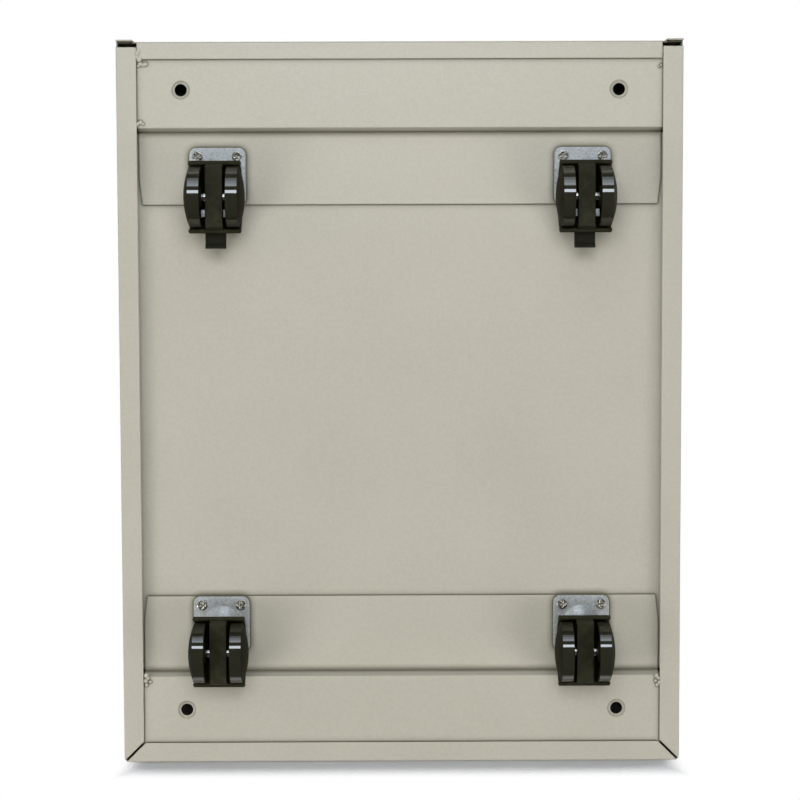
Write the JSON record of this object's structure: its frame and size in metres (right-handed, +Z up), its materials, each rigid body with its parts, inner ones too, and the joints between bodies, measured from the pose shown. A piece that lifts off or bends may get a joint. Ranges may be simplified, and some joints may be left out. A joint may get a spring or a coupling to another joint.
{
  "type": "mobile pedestal filing cabinet",
  "caption": "Steel pedestal cabinet on twin-wheel swivel casters, with a box drawer over a hanging file drawer, full-width recessed pulls and a lock that holds both drawers.",
  "frame": {"origin": "on the floor under the middle of the case, which is also the bottom centre of the bounding box", "axes": "+Z up, the drawers face -Y, +X to the right of someone who stands behind the front and looks along +Y"},
  "size_m": [0.38, 0.49, 0.55],
  "materials": {
    "case_paint": "fine powder coat, low sheen",
    "front_paint": "fine powder coat, low sheen",
    "box_paint": "smooth coat, low sheen",
    "galvanised_steel": "zinc coated",
    "zinc_plate": "bright zinc",
    "zinc_screw": "bright zinc",
    "bright_steel": "ground",
    "lock_chrome": "polished",
    "housing_plastic": "moulded, matte",
    "wheel_plastic": "moulded, glossy",
    "pedal_plastic": "moulded, matte",
    "counterweight_iron": "bare"
  },
  "bodies": {
    "case": {"case_top": "case_paint", "case_wrapper": "case_paint", "caster_screws": "zinc_screw", "counterweight": "counterweight_iron", "floor_sheet": "case_paint", "front_bottom_rail": "case_paint", "front_cross_member": "case_paint", "front_left_caster_plate": "zinc_plate", "front_right_caster_plate": "zinc_plate", "lock_housing": "lock_chrome", "lower_slide_outer_left": "galvanised_steel", "lower_slide_outer_right": "galvanised_steel", "rear_cross_member": "case_paint", "rear_left_caster_plate": "zinc_plate", "rear_right_caster_plate": "zinc_plate", "slide_post_front_left": "galvanised_steel", "slide_post_front_right": "galvanised_steel", "slide_post_rear_left": "galvanised_steel", "slide_post_rear_right": "galvanised_steel", "upper_slide_outer_left": "galvanised_steel", "upper_slide_outer_right": "galvanised_steel"},
    "front_left_pedal": {"front_left_brake_pedal": "pedal_plastic"},
    "front_left_swivel": {"front_left_caster_axle": "bright_steel", "front_left_caster_housing": "housing_plastic"},
    "front_left_wheel_left": {"front_left_caster_wheel_left": "wheel_plastic"},
    "front_left_wheel_right": {"front_left_caster_wheel_right": "wheel_plastic"},
    "front_right_pedal": {"front_right_brake_pedal": "pedal_plastic"},
    "front_right_swivel": {"front_right_caster_axle": "bright_steel", "front_right_caster_housing": "housing_plastic"},
    "front_right_wheel_left": {"front_right_caster_wheel_left": "wheel_plastic"},
    "front_right_wheel_right": {"front_right_caster_wheel_right": "wheel_plastic"},
    "lower_drawer": {"hanging_file_rail_front": "galvanised_steel", "hanging_file_rail_rear": "galvanised_steel", "lower_box": "box_paint", "lower_catch": "galvanised_steel", "lower_front": "front_paint", "lower_pull": "front_paint", "lower_slide_inner_left": "galvanised_steel", "lower_slide_inner_right": "galvanised_steel"},
    "lock_bar": {"lock_bar": "galvanised_steel"},
    "lock_plug": {"lock_plug": "lock_chrome"},
    "lower_slide_middles": {"lower_slide_middle_left": "galvanised_steel", "lower_slide_middle_right": "galvanised_steel"},
    "rear_left_swivel": {"rear_left_caster_axle": "bright_steel", "rear_left_caster_housing": "housing_plastic"},
    "rear_left_wheel_left": {"rear_left_caster_wheel_left": "wheel_plastic"},
    "rear_left_wheel_right": {"rear_left_caster_wheel_right": "wheel_plastic"},
    "rear_right_swivel": {"rear_right_caster_axle": "bright_steel", "rear_right_caster_housing": "housing_plastic"},
    "rear_right_wheel_left": {"rear_right_caster_wheel_left": "wheel_plastic"},
    "rear_right_wheel_right": {"rear_right_caster_wheel_right": "wheel_plastic"},
    "upper_drawer": {"upper_box": "box_paint", "upper_catch": "galvanised_steel", "upper_front": "front_paint", "upper_pull": "front_paint", "upper_slide_inner_left": "galvanised_steel", "upper_slide_inner_right": "galvanised_steel"},
    "upper_slide_middles": {"upper_slide_middle_left": "galvanised_steel", "upper_slide_middle_right": "galvanised_steel"}
  },
  "joints": [
    {"name": "upper_drawer_slide", "type": "slide", "parent": "case", "child": "upper_drawer", "axis": [0, -1, 0], "range_m": [0, 0.44]},
    {"name": "upper_middles_slide", "type": "slide", "parent": "case", "child": "upper_slide_middles", "axis": [0, -1, 0], "range_m": [0, 0.22]},
    {"name": "lower_drawer_slide", "type": "slide", "parent": "case", "child": "lower_drawer", "axis": [0, -1, 0], "range_m": [0, 0.44]},
    {"name": "lower_middles_slide", "type": "slide", "parent": "case", "child": "lower_slide_middles", "axis": [0, -1, 0], "range_m": [0, 0.22]},
    {"name": "lock_turn", "type": "hinge", "parent": "case", "child": "lock_plug", "pos_m": [0.164, -0.235, 0.535], "axis": [0, 1, 0], "range_deg": [0, 90]},
    {"name": "lock_bar_slide", "type": "slide", "parent": "case", "child": "lock_bar", "axis": [0, 0, -1], "range_m": [0, 0.01]},
    {"name": "front_left_swivel_turn", "type": "hinge", "parent": "case", "child": "front_left_swivel", "pos_m": [-0.12325, -0.1543, 0.03], "axis": [0, 0, 1], "continuous": true},
    {"name": "front_left_wheel_left_roll", "type": "hinge", "parent": "front_left_swivel", "child": "front_left_wheel_left", "pos_m": [-0.13825, -0.1396, 0.02], "axis": [1, 0, 0], "continuous": true},
    {"name": "front_left_wheel_right_roll", "type": "hinge", "parent": "front_left_swivel", "child": "front_left_wheel_right", "pos_m": [-0.10825, -0.1396, 0.02], "axis": [1, 0, 0], "continuous": true},
    {"name": "front_left_pedal_tilt", "type": "hinge", "parent": "front_left_swivel", "child": "front_left_pedal", "pos_m": [-0.12325, -0.1253, 0.031], "axis": [1, 0, 0], "range_deg": [-14, 0]},
    {"name": "front_right_swivel_turn", "type": "hinge", "parent": "case", "child": "front_right_swivel", "pos_m": [0.12325, -0.1543, 0.03], "axis": [0, 0, 1], "continuous": true},
    {"name": "front_right_wheel_left_roll", "type": "hinge", "parent": "front_right_swivel", "child": "front_right_wheel_left", "pos_m": [0.10825, -0.1396, 0.02], "axis": [1, 0, 0], "continuous": true},
    {"name": "front_right_wheel_right_roll", "type": "hinge", "parent": "front_right_swivel", "child": "front_right_wheel_right", "pos_m": [0.13825, -0.1396, 0.02], "axis": [1, 0, 0], "continuous": true},
    {"name": "front_right_pedal_tilt", "type": "hinge", "parent": "front_right_swivel", "child": "front_right_pedal", "pos_m": [0.12325, -0.1253, 0.031], "axis": [1, 0, 0], "range_deg": [-14, 0]},
    {"name": "rear_left_swivel_turn", "type": "hinge", "parent": "case", "child": "rear_left_swivel", "pos_m": [-0.12325, 0.1511, 0.03], "axis": [0, 0, 1], "continuous": true},
    {"name": "rear_left_wheel_left_roll", "type": "hinge", "parent": "rear_left_swivel", "child": "rear_left_wheel_left", "pos_m": [-0.13825, 0.1658, 0.02], "axis": [1, 0, 0], "continuous": true},
    {"name": "rear_left_wheel_right_roll", "type": "hinge", "parent": "rear_left_swivel", "child": "rear_left_wheel_right", "pos_m": [-0.10825, 0.1658, 0.02], "axis": [1, 0, 0], "continuous": true},
    {"name": "rear_right_swivel_turn", "type": "hinge", "parent": "case", "child": "rear_right_swivel", "pos_m": [0.12325, 0.1511, 0.03], "axis": [0, 0, 1], "continuous": true},
    {"name": "rear_right_wheel_left_roll", "type": "hinge", "parent": "rear_right_swivel", "child": "rear_right_wheel_left", "pos_m": [0.10825, 0.1658, 0.02], "axis": [1, 0, 0], "continuous": true},
    {"name": "rear_right_wheel_right_roll", "type": "hinge", "parent": "rear_right_swivel", "child": "rear_right_wheel_right", "pos_m": [0.13825, 0.1658, 0.02], "axis": [1, 0, 0], "continuous": true}
  ],
  "couplings": [
    {"joint": "upper_middles_slide", "follows": "upper_drawer_slide", "ratio": 0.5},
    {"joint": "lower_middles_slide", "follows": "lower_drawer_slide", "ratio": 0.5},
    {"joint": "lock_turn", "follows": "lock_bar_slide", "rad_per_m": 157}
  ]
}
